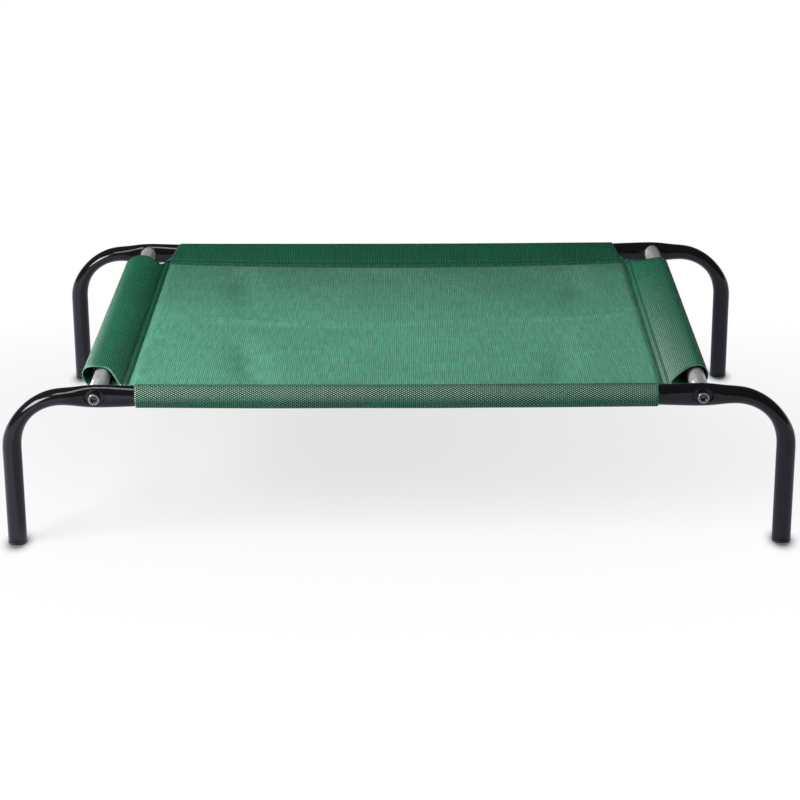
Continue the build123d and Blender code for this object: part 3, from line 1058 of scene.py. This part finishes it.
@dataclass
class SlingCover:
    """The sewn sling: a sagging panel, and a sleeve around each tube.

    Args:
        rail_crease_inset: From the middle of a rail in to the crease beside it.
        rail_loop: Radius of the rail sleeves' loops.
        corner_drop: How far the four corners of the panel lie under the middle of the tubes.
        rail_droop: How far the long edges of the panel hang below its corners in the middle.
        loop_droop: How far the rail sleeves' loops lie lower there, where they hug the round tube.
        rail_span: From the middle of the bed to where that droop ends.
        bar_droop: How far the short edges of the panel hang in the middle.
        sag: How far the middle of the panel hangs below its edges.
        thickness: Thickness of the cloth.
        grid: Greatest distance between two points of the panel.
        calm: Distance from a crease over which the sleeves' unevenness grows to its full height.
        backed_after: Distance from a crease at which the cloth is wholly backed.
        rail_backing: How strongly it is backed on the black rails, for 1 on the bars.
        yarn_spacing: Distance between two yarns at a cut edge.
        loop_swell: How much steeper than taut the loose sleeves of the bars rise.
        folds: The panel's long shallow folds.
        fold_width: Half width of a fold.
        ridge: Height of the panel's faint ridge.
        ridge_width: Half width of the ridge.
        sewn_inset: From the end of a sleeve to the end of its rows of stitches.
        rail_flap: Mean length of a rail's sleeve from the middle of the bed to its end.
        bar_flap: Mean length of a bar's sleeve from the middle of the bed to its mouth.
        stitching: The rows that close each sleeve.
        slot: The record's slot of the cloth; not used.
    """

    rail_crease_inset: float = 40.0 * MM
    rail_loop: float = 13.15 * MM
    corner_drop: float = 3.0 * MM
    rail_droop: float = 5.6 * MM
    loop_droop: float = 1.3 * MM
    rail_span: float = 310 * MM
    bar_droop: float = 1.0 * MM
    sag: float = 6.4 * MM
    thickness: float = 0.9 * MM
    grid: float = 9.0 * MM
    calm: float = 12 * MM
    backed_after: float = 1.5 * MM
    rail_backing: float = 1.4
    yarn_spacing: float = 1.7 * MM
    loop_swell: float = math.radians(17)
    folds: Tuple[Fold, ...] = (Fold(5.0 * MM, -192 * MM, -0.08), Fold(4.0 * MM, 215 * MM, 0.12))
    fold_width: float = 19 * MM
    ridge: float = 0.9 * MM
    ridge_width: float = 7 * MM
    sewn_inset: float = 2 * MM
    rail_flap: float = 302 * MM
    bar_flap: float = 232 * MM
    stitching: Stitching = Stitching()
    slot: Slot = Slot.GREEN_MESH

    def __post_init__(self) -> None:
        """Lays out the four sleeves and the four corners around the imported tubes."""
        bars = {Side.LEFT: middle_of("left_cross_bar"), Side.RIGHT: middle_of("right_cross_bar")}
        tube_height = bars[Side.LEFT][2]
        rail_out = middle_of("rear_rail_left")[1]
        self.half_width = rail_out - self.rail_crease_inset
        self.edge_height = tube_height - self.corner_drop
        self.rail = SleevePath(self.half_width, self.edge_height, rail_out, tube_height, self.rail_loop)
        self.bars: Dict[Side, SleevePath] = {}
        self.joined: Dict[Side, float] = {}
        self.corners: Dict[Tuple[Side, End], CornerCut] = {}
        for side, middle in bars.items():
            out = abs(middle[0])
            inset, offset, radius = BAR_SLEEVES[side]
            self.bars[side] = SleevePath(out - inset * MM, self.edge_height, out + offset * MM, tube_height,
                                         radius * MM, self.loop_swell)
            past = self.bars[side].at(self.joining_rows(side)[-1])[0] - self.bars[side].crease
            self.joined[side] = self.bars[side].crease + past
            for end in End:
                mouth, rail_end = CORNER_CUTS[side, end]
                cut = CornerCut(set_in(rail_out, (NOTCH_KNOT,) + mouth), set_in(out, rail_end))
                self.corners[side, end] = cut

    # ----- shape -----

    def joining_rows(self, side: Side) -> List[float]:
        """Stations of a bar's sleeve past the crease that stay joined to the rails' sleeves."""
        return [row for row in self.bars[side].stations if 0 < row <= NOTCH_KNOT[0] * MM]

    def hang(self, x: float) -> float:
        """Share of the rail sleeves' droop at a place along the bed, 1 in its middle."""
        return 1 - min(abs(x) / self.rail_span, 1.0) ** 2

    def long_edge(self, x: float) -> float:
        """Height of the creases along the rails at a place along the bed."""
        return self.edge_height - self.rail_droop * self.hang(x)

    def short_edge(self, y: float) -> float:
        """Height of the creases along the bars at a place across the bed."""
        share = min(abs(y) / self.half_width, 1.0)
        return self.edge_height - self.bar_droop * (1 - share ** 2)

    def ripple(self, x: float, y: float) -> float:
        """Slight unevenness of the stretched panel: broad waves, long folds, and a faint ridge.

        Args:
            x: Place along the bed.
            y: Place across it.

        Returns:
            The height to add.
        """
        broad = waves(x * 5.0, y * 2.6, 0.3) * 2.0 * MM
        fine = waves(x * 19.0, y * 8.0, 4.1) * 0.3 * MM
        ridge = self.ridge * math.exp(-((y - 0.027 - 0.006 * math.sin(x * 9)) / self.ridge_width) ** 2)
        folds = 0.0
        for fold in self.folds:
            strength = 0.5 + 0.5 * math.cos((y - 0.17) * 19)
            aside = (x - fold.place - fold.lean * y) / self.fold_width
            folds -= fold.depth * strength * math.exp(-aside ** 2)
        return broad + fine + ridge + folds

    def panel_point(self, x: float, y: float) -> Vector:
        """Point of the panel.

        Args:
            x: Place along the bed.
            y: Place across it.

        Returns:
            The point.
        """
        share_x = min(abs(x) / self.bars[self.side_of(x)].crease, 1.0)
        share_y = min(abs(y) / self.half_width, 1.0)
        edges = self.long_edge(x) + self.short_edge(y) - self.edge_height
        hollow = (1 - share_x ** 2) * (1 - share_y ** 2)
        return Vector((x, y, edges - self.sag * hollow + self.ripple(x, y) * min(1.0, 4 * hollow)))

    @staticmethod
    def side_of(x: float) -> Side:
        """The half of the bed that a place along it is in."""
        return Side.LEFT if x < 0 else Side.RIGHT

    def panel_x(self) -> List[float]:
        """Stations along the bed that the panel and the rail sleeves share."""
        left, right = -self.bars[Side.LEFT].crease, self.bars[Side.RIGHT].crease
        return [left] + evenly(left, right, self.grid)

    def panel_y(self) -> List[float]:
        """Stations across the bed that the panel and the bar sleeves share."""
        return [-self.half_width] + evenly(-self.half_width, self.half_width, self.grid)

    def rail_x(self) -> List[float]:
        """Stations of a rail sleeve: the panel's, and the bar sleeves' first rows past its corners."""
        left, right = ([self.bars[side].at(row)[0] for row in self.joining_rows(side)] for side in Side)
        return [-x for x in reversed(left)] + self.panel_x() + right

    def settle(self, path: SleevePath, along: float, edge: float, droop: float = 0.0) -> float:
        """How much a sleeve is lowered: its runs to meet a crease that hangs, and its loop by a droop.

        Args:
            path: The sleeve's path.
            along: Distance along it.
            edge: Height of the crease here.
            droop: How far the loop hangs here.

        Returns:
            The height to add.
        """
        marks = path.marks
        if along < marks.onto_loop:
            share = 1 - along / marks.onto_loop
        elif along > marks.off_loop:
            share = min((along - marks.off_loop) / (marks.closing - marks.off_loop), 1.0)
        else:
            share = 0.0
        return (edge - path.crease_height) * share ** 1.5 - droop * (1 - share ** 1.5)

    def bar_lift(self, side: Side, x: float) -> float:
        """How far a bar's sleeve has risen at a place outwards of its crease."""
        path = self.bars[side]
        return max(abs(x) - path.crease, 0.0) * math.tan(path.taut_slope)

    def mouth_at(self, side: Side, end: End, along: float) -> float:
        """Distance of a bar sleeve's mouth from the bed's middle, for a distance along its path."""
        joined = along <= NOTCH_KNOT[0] * MM
        return self.half_width if joined else smooth_curve(self.corners[side, end].mouth, along)

    def rail_end_at(self, side: Side, end: End, along: float) -> float:
        """Distance of a rail sleeve's end from the bed's middle, for a distance along its path."""
        return smooth_curve(((0, self.joined[side]),) + self.corners[side, end].rail_end, along)

    def bar_point(self, side: Side, along: float, y: float) -> Tuple[Vector, Point]:
        """Point of a bar sleeve, and its place in the flat cloth.

        Args:
            side: Which end of the bed.
            along: Distance from the crease along the sleeve's path.
            y: Station across the bed.

        Returns:
            The point, and its U and V.
        """
        place = y / self.half_width * self.mouth_at(side, End.FRONT if y < 0 else End.REAR, along)
        path = self.bars[side]
        out, height = path.at(along)
        slack = waves(along * 25, place * 7, side.value * 3.0) * 0.8 * MM
        height += self.settle(path, along, self.short_edge(place)) + slack * min(1.0, along / self.calm)
        return Vector((side.value * out, place, height)), (side.value * (path.crease + along), place)

    def rail_point(self, end: End, along: float, x: float) -> Tuple[Vector, Point]:
        """Point of a rail sleeve, and its place in the flat cloth.

        Args:
            end: Which rail.
            along: Distance from the crease along the sleeve's path.
            x: Station along the bed.

        Returns:
            The point, and its U and V.
        """
        side = self.side_of(x)
        place = x / self.joined[side] * self.rail_end_at(side, end, along)
        out, height = self.rail.at(along)
        height += self.settle(self.rail, along, self.long_edge(place), self.loop_droop * self.hang(place))
        height += self.bar_lift(side, place)
        drift = waves(place * 11, along * 30, end.value * 5.0) * 0.3 * MM
        height += drift * min(1.0, along / self.calm)
        return Vector((place, end.value * out, height)), (place, end.value * (self.half_width + along))

    # ----- mesh -----

    def weave(self) -> bpy.types.Object:
        """Builds the whole cloth as one mesh with its flat coordinates.

        Returns:
            The cloth's object.
        """
        points: List[Vector] = []
        flats: List[Point] = []
        backed: List[float] = []
        faces: List[Tuple[int, ...]] = []

        def sheet(rows: List[List[Tuple[Vector, Point, float]]], flip: bool) -> None:
            """Adds a grid of points and its faces.

            Args:
                rows: Rows of corners: point, place in the flat cloth, and backing.
                flip: Whether its faces are turned over.
            """
            first, width = len(points), len(rows[0])
            for point, flat, back in (corner for row in rows for corner in row):
                points.append(point)
                flats.append(flat)
                backed.append(back)
            for i in range(len(rows) - 1):
                for a in range(first + i * width, first + (i + 1) * width - 1):
                    quad = (a, a + 1, a + width + 1, a + width)
                    faces.append(tuple(reversed(quad)) if flip else quad)

        def sleeve(path: SleevePath, at: Callable, places: List[float], most: float, flip: bool) -> None:
            """Adds a sleeve: its point function, its stations, its most backing, and its turn."""
            sheet([[(*at(along, place), min(along / self.backed_after, most)) for place in places]
                   for along in path.stations], flip)

        sheet([[(self.panel_point(x, y), (x, y), 0.0) for x in self.panel_x()]
               for y in self.panel_y()], False)
        for end in End:
            on_rail = partial(self.rail_point, end)
            sleeve(self.rail, on_rail, self.rail_x(), self.rail_backing, end is End.FRONT)
        for side in Side:
            on_bar = partial(self.bar_point, side)
            sleeve(self.bars[side], on_bar, self.panel_y(), 1.0, side is Side.RIGHT)
        mesh = bpy.data.meshes.new("sling_cloth")
        mesh.from_pydata(points, [], faces)
        chart = mesh.uv_layers.new(name="cloth")
        for loop in mesh.loops:
            chart.data[loop.index].uv = flats[loop.vertex_index]
        mesh.attributes.new("backing", "FLOAT", "POINT").data.foreach_set("value", backed)
        shell = bmesh.new()
        shell.from_mesh(mesh)
        bmesh.ops.remove_doubles(shell, verts=shell.verts, dist=0.02 * MM)
        return self.filled("sling_cloth", mesh, shell)

    @staticmethod
    def filled(name: str, mesh: bpy.types.Mesh, shell: bmesh.types.BMesh) -> bpy.types.Object:
        """Puts a mesh under construction into its mesh data, smooth, and that into the scene.

        Args:
            name: The object's name.
            mesh: The mesh data.
            shell: The mesh under construction, which is freed.

        Returns:
            The object.
        """
        shell.to_mesh(mesh)
        shell.free()
        mesh.polygons.foreach_set("use_smooth", [True] * len(mesh.polygons))
        return placed(name, mesh)

    # ----- sewing -----

    def on_bar(self, side: Side, along: float, y: float) -> Vector:
        """Point of a bar's sleeve at a distance along its path and a real place across the bed."""
        mouth = self.mouth_at(side, End.FRONT if y < 0 else End.REAR, along)
        return self.bar_point(side, along, y * self.half_width / mouth)[0]

    def on_rail(self, end: End, along: float, x: float) -> Vector:
        """Point of a rail's sleeve at a distance along its path and a real place along the bed."""
        side = self.side_of(x)
        return self.rail_point(end, along, x * self.joined[side] / self.rail_end_at(side, end, along))[0]

    def sewn_rows(self) -> Dict[str, List[Tuple[Callable[[float, float], Vector], float, float, float]]]:
        """The rows of stitches on both faces of the cloth.

        Returns:
            For each piece of stitching its rows: the surface, the distance along its path, and both ends.
        """
        rail_rows, bar_rows = [], []
        for end in End:
            for along in self.row_places(self.rail):
                left, right = (self.rail_end_at(side, end, along) - self.sewn_inset for side in Side)
                rail_rows.append((partial(self.on_rail, end), along, -left, right))
        for side in Side:
            for along in self.row_places(self.bars[side]):
                if along < self.bars[side].marks.closing:
                    front = rear = self.half_width - 1.5 * MM
                else:
                    front, rear = (self.mouth_at(side, end, along) - self.sewn_inset for end in End)
                bar_rows.append((partial(self.on_bar, side), along, -front, rear))
        return {"rail_seam_stitching": rail_rows, "bar_seam_stitching": bar_rows}

    def row_places(self, path: SleevePath) -> Tuple[float, ...]:
        """Distances along a sleeve's path of its rows: two on top, the same two below."""
        first, second, closing = self.stitching.first_row, self.stitching.second_row, path.marks.closing
        return first, second, closing, closing + second - first

    def stitch_row(self, shell: bmesh.types.BMesh, surface: Callable[[float, float], Vector], along: float,
                   start: float, end: float) -> None:
        """Lays one row of stitches, each arched out of the cloth with its ends sunk in.

        Args:
            shell: The mesh that takes them.
            surface: Point of the cloth for a distance along the path and a place on the row.
            along: The row's distance along the path.
            start: Where the row begins.
            end: Where it ends.
        """
        work = self.stitching
        count = int((end - start) / work.pitch)
        step = 0.4 * MM
        for index in range(count):
            middle = start + (index + 0.5) * (end - start) / count
            here = surface(along, middle)
            run = (surface(along, middle + step) - surface(along, middle - step)).normalized()
            out = (surface(along + step, middle) - surface(max(along - step, 0.0), middle)).cross(run)
            out.normalize()
            if (out.z < 0) == (along <= work.second_row):
                out.negate()
            aside = run.cross(out)
            rings = []
            for place, girth, lift in work.rings:
                rise = self.thickness / 2 + lift * work.thread / 2
                centre = here + run * place * work.stitch + out * rise
                ring = []
                for turn in (corner * math.tau / work.corners for corner in range(work.corners)):
                    offset = aside * math.cos(turn) + out * math.sin(turn) * work.flatness
                    ring.append(shell.verts.new(centre + offset * girth * work.thread / 2))
                rings.append(ring)
            self.skin(shell, rings)

    @staticmethod
    def skin(shell: bmesh.types.BMesh, rings: List[List[bmesh.types.BMVert]]) -> None:
        """Closes a run of rings into a solid.

        Args:
            shell: The mesh.
            rings: Its rings of points, in order.
        """
        for first, second in zip(rings, rings[1:]):
            for corner in range(len(first)):
                after = (corner + 1) % len(first)
                shell.faces.new((first[corner], first[after], second[after], second[corner]))
        shell.faces.new(list(reversed(rings[0])))
        shell.faces.new(rings[-1])

    def make_piece(self, name: str, shell: bmesh.types.BMesh, finish: Finish) -> bpy.types.Object:
        """Turns a mesh under construction into a piece of the sling.

        Args:
            name: The piece's name.
            shell: The mesh under construction, which is freed.
            finish: Its finish.

        Returns:
            The piece.
        """
        bmesh.ops.recalc_face_normals(shell, faces=shell.faces)
        piece = self.filled(name, bpy.data.meshes.new(name), shell)
        piece.data.materials.append(finish.material())
        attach(piece, "root")
        LOG.info("%s, %d faces", name, len(piece.data.polygons))
        return piece

    def stitch(self) -> List[bpy.types.Object]:
        """Sews the rail sleeves and the bar sleeves.

        Returns:
            The pieces of stitching.
        """
        pieces = []
        for name, rows in self.sewn_rows().items():
            shell = bmesh.new()
            for row in rows:
                self.stitch_row(shell, *row)
            pieces.append(self.make_piece(name, shell, SewingThread()))
        return pieces

    def cut_ends(self) -> bpy.types.Object:
        """Short ends of yarn that stand out of the cut edges of the sleeves.

        Returns:
            The piece.
        """
        shell = bmesh.new()
        spare = 1.2 * MM
        unsewn = 3 * MM
        inwards = 0.995

        def fray(surface: Callable, reach_at: Callable, sign: int, run: Point, seed: float) -> None:
            """Frays one cut edge.

            Args:
                surface: Point of the sleeve for a distance along its path and a real place.
                reach_at: Distance of the edge from the bed's middle, for a distance along the path.
                sign: Side of the middle on which it lies.
                run: Distances along the path between which it is frayed.
                seed: Number that keeps its ends unlike those of other edges.
            """
            for along in evenly(*run, self.yarn_spacing):
                reach = sign * reach_at(along)
                inner = surface(along, reach * inwards)
                self.yarn_end(shell, surface(along, reach), inner, along + seed)

        for side in Side:
            for end in End:
                fray(partial(self.on_bar, side), partial(self.mouth_at, side, end), end.value,
                     (NOTCH_KNOT[0] * MM + spare, self.bars[side].marks.closing - unsewn), 0.0)
                fray(partial(self.on_rail, end), partial(self.rail_end_at, side, end), side.value,
                     (spare, self.rail.marks.closing - unsewn), 0.5)
        return self.make_piece("cut_yarn_ends", shell, CutYarn())

    def yarn_end(self, shell: bmesh.types.BMesh, edge: Vector, inner: Vector, seed: float) -> None:
        """One end of yarn, thinner at its tip and a little askew.

        Args:
            shell: The mesh that takes it.
            edge: Point on the cut edge.
            inner: Point a little inwards of it on the cloth.
            seed: Number that its length and lean follow from.
        """
        run = (edge - inner).normalized()
        lean = noise.noise_vector(edge * 900 + Vector((seed, 0, 0)))
        length = (0.9 + 0.5 * noise.noise(edge * 700)) * MM
        tip = (run + lean * 0.35).normalized()
        aside = tip.orthogonal().normalized()
        up = tip.cross(aside)
        rings = []
        for place, girth in ((-0.8 * MM, 0.34 * MM), (length * 0.5, 0.30 * MM), (length, 0.14 * MM)):
            centre = edge + (run if place < 0 else tip) * place
            rings.append([shell.verts.new(centre + (aside * math.cos(turn) + up * math.sin(turn)) * girth)
                          for turn in (corner * math.tau / 5 for corner in range(5))])
        self.skin(shell, rings)

    def flat_size(self) -> Tuple[Point, float]:
        """Size of the cut cloth, and its area.

        Returns:
            Width across the bed and length along it, and the area without the four notches.
        """
        bars = self.bars.values()
        length = sum(path.crease + path.marks.end for path in bars)
        width = 2 * (self.half_width + self.rail.marks.end)
        panel = 2 * self.half_width * sum(path.crease for path in bars)
        rail_flaps = 4 * self.rail.marks.end * self.rail_flap
        bar_flaps = 2 * sum(path.marks.end for path in bars) * self.bar_flap
        return (width, length), panel + rail_flaps + bar_flaps

    def finish_cloth(self, cloth: bpy.types.Object, sewing: List[bpy.types.Object]) -> None:
        """Gives the cloth its thickness and its finish, hides the imported cover, and logs the size of the
        cut cloth.

        Args:
            cloth: The cloth's object.
            sewing: The pieces sewn to it; not used.
        """
        cloth.data.materials.append(MeshCloth().material())
        cloth.data.materials.append(CutYarn().material())
        wall = cloth.modifiers.new("thickness", "SOLIDIFY")
        wall.thickness = self.thickness
        wall.offset = 0.0
        wall.material_offset_rim = 1
        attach(cloth, "root")
        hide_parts("sling_cover")
        flat, area = self.flat_size()
        LOG.info("sling_cloth, cut %.0f by %.0f mm, %.3f square metres", flat[0] / MM, flat[1] / MM, area)

    def build(self) -> None:
        """Makes the sling with its stitching."""
        cloth = self.weave()
        self.finish_cloth(cloth, self.stitch() + [self.cut_ends()])


# ---------------------------------------------------------------------------------------------
# Studio
# ---------------------------------------------------------------------------------------------


@dataclass(frozen=True)
class SoftBox:
    """A rectangular light.

    Args:
        name: Its name.
        place: Where it hangs.
        target: Where it points.
        size: Its two sides.
        power: Its power.
    """

    name: str
    place: Triple
    target: Triple
    size: Point
    power: float

    def hang(self) -> None:
        """Puts the light into the scene."""
        data = bpy.data.lights.new(self.name, "AREA")
        data.shape = "RECTANGLE"
        data.size, data.size_y = self.size
        data.energy = self.power
        aim = (Vector(self.target) - Vector(self.place)).to_track_quat("-Z", "Y")
        placed(self.name, data).matrix_world = Matrix.Translation(self.place) @ aim.to_matrix().to_4x4()


@dataclass(frozen=True)
class Studio:
    """Pale floor, soft light and the camera.

    Args:
        camera_place: Where the camera stands.
        pitch: How far it looks down.
        yaw: How far it turns to the left.
        roll: How far it leans.
        lens: Focal length, for the sensor's width.
        sensor: Width of the sensor.
        sight: How far the camera sees.
        boxes: The lights.
        floor_half: Half the floor's side.
        floor_colour: The floor's own colour, which lights the bed from below.
        fill: Level of the soft light from all around.
        fill_sides: Factor for it on the left, and on the right.
        fill_heights: Factor for it level with the floor, and overhead.
        ceiling: Level of the ceiling that glossy pieces mirror.
        horizon: Heights between which that ceiling begins.
        floor_shade: Share of the floor's white that shadows take away.
        shade_shape: Factors for the floor's axes that make the shadow an oval.
        shade_reach: Distances between which the shadow fades out, in that oval.
        floor_lean: How much of it is taken at the left end of the bed, and at the right.
        bed_ends: Places along the bed to which those two belong.
        mirrored: Level of the floor that glossy pieces mirror left of the bed, and in front of it.
        mirror_edge: Places along the bed between which that level changes.
        mirror_tint: Colour in which they mirror it.
        contact_reach: How far the dark contact shadow reaches round a foot.
        contact_depth: How much of the floor's white it takes.
        contact_stretch: How flat the contact shadow is from front to rear.
    """

    camera_place: Triple = (0.01403, -2.80770, 1.06736)
    pitch: float = math.radians(19.564)
    yaw: float = math.radians(0.2807)
    roll: float = math.radians(-0.2715)
    lens: float = 105.08
    sensor: float = 36.0
    sight: float = 60.0
    boxes: Tuple[SoftBox, ...] = (
        SoftBox("key_box", (-1.35, -0.95, 1.0), (0.0, 0.0, 0.15), (0.9, 0.6), 33.0),
        SoftBox("strip_box", (-0.66, -0.78, 1.65), (-0.66, 0.0, 0.15), (0.55, 0.5), 7.0),
    )
    floor_half: float = 14.0
    floor_colour: Colour = (0.72, 0.72, 0.72)
    fill: float = 0.42
    fill_sides: Point = (1.7, 0.3)
    fill_heights: Point = (1.15, 0.9)
    ceiling: float = 0.10
    horizon: Point = (0.03, 0.09)
    floor_shade: float = 0.20
    shade_shape: Triple = (0.8, 1.6, 1)
    shade_reach: Point = (0.35, 1.0)
    floor_lean: Point = (1.65, 0.95)
    bed_ends: Point = (-0.42, 0.42)
    mirrored: Point = (1.22, 0.66)
    mirror_edge: Point = (-0.43, -0.37)
    mirror_tint: Colour = (0.95, 0.96, 1.22)
    contact_reach: float = 14 * MM
    contact_depth: float = 0.92
    contact_stretch: float = 0.55

    def camera(self) -> None:
        """Sets up the camera."""
        level = math.cos(self.pitch)
        ahead = Vector((-math.sin(self.yaw) * level, math.cos(self.yaw) * level, -math.sin(self.pitch)))
        right = Vector((math.cos(self.yaw), math.sin(self.yaw), 0))
        up = right.cross(ahead)
        lean_right = math.cos(self.roll) * right + math.sin(self.roll) * up
        lean_up = math.cos(self.roll) * up - math.sin(self.roll) * right
        data = bpy.data.cameras.new("camera")
        data.lens = self.lens
        data.sensor_width = self.sensor
        data.clip_end = self.sight
        camera = placed("camera", data)
        turn = Matrix((lean_right, lean_up, -ahead)).transposed()
        camera.matrix_world = Matrix.Translation(self.camera_place) @ turn.to_4x4()
        bpy.context.scene.camera = camera

    def contact(self, bench: NodeBench) -> Socket:
        """Mask of the contact shadows: 1 on the open floor, nearly 0 under the four feet.

        Args:
            bench: The floor's bench.

        Returns:
            The mask.
        """
        x, y, _ = middle_of("front_right_foot")
        low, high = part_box("front_right_foot")
        edge = (high.x - low.x) / 2
        beside = bench.maths("SUBTRACT", bench.maths("ABSOLUTE", bench.coord("X")), x)
        before = bench.maths("ADD", bench.maths("ABSOLUTE", bench.coord("Y")), y)
        spot = bench.put("CombineXYZ", {0: beside, 1: bench.times(before, self.contact_stretch)}).outputs[0]
        away = bench.vector("LENGTH", {0: spot}, "Value")
        near = bench.spread(away, (edge * 0.8, edge + self.contact_reach), (1.0, 0.0))
        near = bench.maths("POWER", near, 2.4)
        return bench.maths("SUBTRACT", 1.0, bench.times(near, self.contact_depth))

    def floor(self) -> None:
        """Lays a wide pale floor that shows white, with the bed's shadow on it."""
        half = self.floor_half
        mesh = bpy.data.meshes.new("floor")
        corners = [(-half, -half, 0), (half, -half, 0), (half, half, 0), (-half, half, 0)]
        mesh.from_pydata(corners, [], [(0, 1, 2, 3)])
        floor = placed("floor", mesh)
        material = bpy.data.materials.new("pale_floor")
        bench = NodeBench.emptied(material)
        plain = bench.put("BsdfDiffuse", {0: self.floor_colour})
        away = bench.vector("LENGTH", {0: bench.object_place(self.shade_shape)}, "Value")
        share = bench.spread(away, self.shade_reach, (self.floor_shade, 0.0))
        shade = bench.put("BsdfDiffuse", {0: bench.grey(share)})
        across = bench.coord("X")
        taken = bench.times(share, bench.spread(across, self.bed_ends, self.floor_lean))
        level = bench.times(bench.maths("SUBTRACT", 1.0, taken), self.contact(bench))
        glossy = bench.rays("Is Glossy Ray")
        mirrored = bench.mix(glossy, 1.0, bench.spread(across, self.mirror_edge, self.mirrored))
        tint = bench.blend(glossy, (1, 1, 1), self.mirror_tint)
        glow = bench.put("Emission", {0: tint, 1: bench.times(level, mirrored)})
        shown = bench.put("AddShader", {0: shade.outputs[0], 1: glow.outputs[0]})
        seen = bench.rays("Is Camera Ray", "Is Transmission Ray", "Is Glossy Ray")
        mixed = bench.put("MixShader", {0: seen, 1: plain.outputs[0], 2: shown.outputs[0]})
        bench.put("OutputMaterial", {0: mixed.outputs[0]})
        mesh.materials.append(material)

    def world(self) -> None:
        """Surrounds the bed with soft light from the front left, and gloss with a bright horizon."""
        world = bpy.data.worlds.new("studio")
        bpy.context.scene.world = world
        bench = NodeBench.emptied(world)
        away = bench.put("TexCoord").outputs["Generated"]
        x, y, z = (bench.coord(axis, away) for axis in "XYZ")
        aside = bench.maths("MULTIPLY_ADD", x, 0.8, bench.times(y, 0.6))
        left, right = (self.fill * factor for factor in self.fill_sides)
        soft = bench.times(bench.spread(aside, (-1.0, 1.0), (left, right)),
                           bench.spread(z, (0.0, 1.0), self.fill_heights))
        gloss = bench.spread(z, self.horizon, (1.0, self.ceiling))
        level = bench.mix(bench.rays("Is Glossy Ray"), soft, gloss)
        strength = bench.mix(bench.rays("Is Camera Ray", "Is Transmission Ray"), level, 1.0)
        back = bench.put("Background", {0: (1, 1, 1), 1: strength})
        bench.put("OutputWorld", {0: back.outputs[0]})

    def build(self) -> None:
        """Sets up the whole studio."""
        bpy.context.scene.view_settings.view_transform = "Standard"
        self.camera()
        self.floor()
        self.world()
        for box in self.boxes:
            box.hang()
        LOG.info("studio: camera, floor, world and %d soft boxes", len(self.boxes))


def main() -> None:
    """Builds and dresses the bed, then the studio."""
    logging.basicConfig(level=logging.INFO, format="%(message)s")
    bpy.ops.object.select_all(action="DESELECT")
    noise.seed_set(NOISE_SEED)
    BoltedFrame().dress()
    SlingCover().build()
    Studio().build()


if __name__ == "__main__":
    main()
